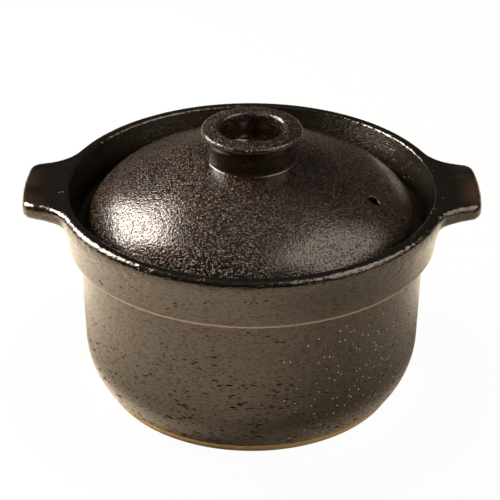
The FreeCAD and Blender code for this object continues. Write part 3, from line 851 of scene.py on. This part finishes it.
def thin_glaze_and_arris_highlight(place):
    """How far the glaze has run off: 1 on the arris, which also paints the highlight there, about a third on
    the tips of the ears.
    """
    radius = math.hypot(place.x, place.y)
    tip = TIP_THIN * min(1.0, max(0.0, (radius - 110 * MM) / (10 * MM)))
    arris_pale_highlight = max(0.0, 1.0 - abs(place.z - ARRIS_HEIGHT) / ARRIS_HIGHLIGHT_BAND) if radius > 97 * MM else 0.0
    return max(tip, arris_pale_highlight)


def make_pot():
    """The pot's mesh: turned, thrown and pulled, with the thin value for its glaze and its painted arris
    highlight.
    """
    bm = bmesh.new()
    zone_layer = bm.verts.layers.float.new("zone")
    share_layer = bm.verts.layers.float.new("share")
    thin_and_highlight_layer = bm.verts.layers.float.new("thin")
    points = foot_to_lip + rim_points + inner_lip + lip_to_floor
    outside, inside = len(foot_to_lip), len(inner_lip) + len(lip_to_floor)
    zones = [0] * outside + rim_zones + [0] * inside
    shares = [0.0] * outside + rim_shares + [0.0] * inside
    turned(bm, points, COLUMNS, {zone_layer: zones, share_layer: shares})
    for vertex in bm.verts:
        zone = round(vertex[zone_layer])
        if zone:
            vertex.co = pulled(vertex.co.x, vertex.co.y, zone, vertex[share_layer])
        else:
            thrown(vertex)
        vertex[thin_and_highlight_layer] = thin_glaze_and_arris_highlight(vertex.co)
    return finish_piece(bm, "glazed_pot", pot_glaze)


glazed_pot = make_pot()
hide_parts("pot")

# %% [markdown]
# ## The domed lid
# The dome is two arcs, a flat crown and a tighter shoulder, ending in a short upright skirt that stands on
# the ledge. The knob is a hollow ring that the hand grips, with an overhanging lip and a sloping mouth.

# %% Section of the domed lid
LID_COLUMNS = 400
LID_STEP = 1.2 * MM

lid_section = section_points([
    line(0.0, 128.11),
    arc(47.9, 119.3, 162.5, -1),
    arc(80.05, 102.25, 35.9, -1),
    line(80.5, 100.8),
    line(80.5, 95.0, 1.6),
    line(87.0, 95.0, 1.6),
    line(88.0, 100.8),
    arc(86.19, 106.54, 10.0, 1),
    arc(68.0, 121.41, 43.4, 1),
    arc(23.7, 133.95, 170.0, 1, 1.2),
    line(23.7, 145.4, 3.0),
    line(27.0, 148.4, 1.9),
    line(27.0, 151.2, 1.9),
    line(17.2, 152.4, 2.3),
    line(15.5, 135.4, 5.0),
    line(0.0, 135.4),
], LID_STEP)
print(f"lid section: {len(lid_section)} points, top {max(p.y for p in lid_section) / MM:.2f} mm")

# %% [markdown]
# One steam hole goes straight down through the shoulder. The turned faces round it are taken out of both
# skins, a ring of sections with softened edges is set in, and two bridges close the gap to the skins.

# %% Steam hole
HOLE_TURN = math.radians(-20.8)
HOLE_PLACE = Vector((math.cos(HOLE_TURN), math.sin(HOLE_TURN))) * 68.4 * MM
HOLE_RADIUS = 2.8 * MM
HOLE_ROUND = 0.8 * MM
HOLE_RIM = 4.8 * MM
HOLE_CLEAR = 5.2 * MM
HOLE_SECTIONS = 44
SHOULDER_CENTRE = Vector((50.64, 81.64)) * MM
SHOULDER_SKINS = (43.4 * MM, 35.9 * MM)
BETWEEN_SKINS = 116.8 * MM


def skin_point(away, distance, skin):
    """On the shoulder's outer or inner skin, that far from the hole's axis: distance and height."""
    radius = (HOLE_PLACE + away * distance).length
    return Vector((distance, SHOULDER_CENTRE.y + math.sqrt(skin ** 2 - (radius - SHOULDER_CENTRE.x) ** 2)))


def hole_section(away):
    """From the outer skin over the softened edge, down the hole and out to the inner skin."""
    outer, inner = SHOULDER_SKINS
    top, foot = skin_point(away, HOLE_RADIUS, outer), skin_point(away, HOLE_RADIUS, inner)
    rim_top, rim_foot = skin_point(away, HOLE_RIM, outer), skin_point(away, HOLE_RIM, inner)
    edge_top = round_corner(rim_top, top, foot, HOLE_ROUND, 6)
    edge_foot = round_corner(top, foot, rim_foot, HOLE_ROUND, 6)
    return [rim_top] + edge_top + edge_foot + [rim_foot]


def drill(bm):
    """Open the steam hole in the turned lid."""
    near = [f for f in bm.faces if any((v.co.xy - HOLE_PLACE).length < HOLE_CLEAR for v in f.verts)]
    bmesh.ops.delete(bm, geom=near, context="FACES")
    gap = [e for e in bm.edges if e.is_boundary]
    columns = []
    for index in range(HOLE_SECTIONS):
        turn = 2 * math.pi * index / HOLE_SECTIONS
        away = Vector((math.cos(turn), math.sin(turn)))
        places = [(HOLE_PLACE + away * point.x, point.y) for point in hole_section(away)]
        columns.append([bm.verts.new((flat.x, flat.y, height)) for flat, height in places])
    for first, second in zip(columns, columns[1:] + columns[:1]):
        for side in zip(first, second, second[1:], first[1:]):
            bm.faces.new(side)
    for above in (True, False):
        skin = [e for e in gap if (e.verts[0].co.z > BETWEEN_SKINS) == above]
        end = 0 if above else -1
        ring = [bm.edges.get((first[end], second[end]))
                for first, second in zip(columns, columns[1:] + columns[:1])]
        bmesh.ops.bridge_loops(bm, edges=skin + ring)


print(f"steam hole {2 * HOLE_RADIUS / MM:.1f} mm wide")

# %% Build the domed lid
def make_lid():
    """The domed lid's mesh: turned, then drilled."""
    bm = bmesh.new()
    turned(bm, lid_section, LID_COLUMNS)
    drill(bm)
    return finish_piece(bm, "domed_lid", lid_glaze)


domed_lid = make_lid()
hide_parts("outer_lid")

# %% [markdown]
# ## The inner lid
# It keeps its packed form and only gets its glaze.

# %% Dress the inner lid
inner_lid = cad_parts["inner_lid"]
inner_lid.data.materials.clear()
inner_lid.data.materials.append(inner_glaze)
print("inner lid dressed")
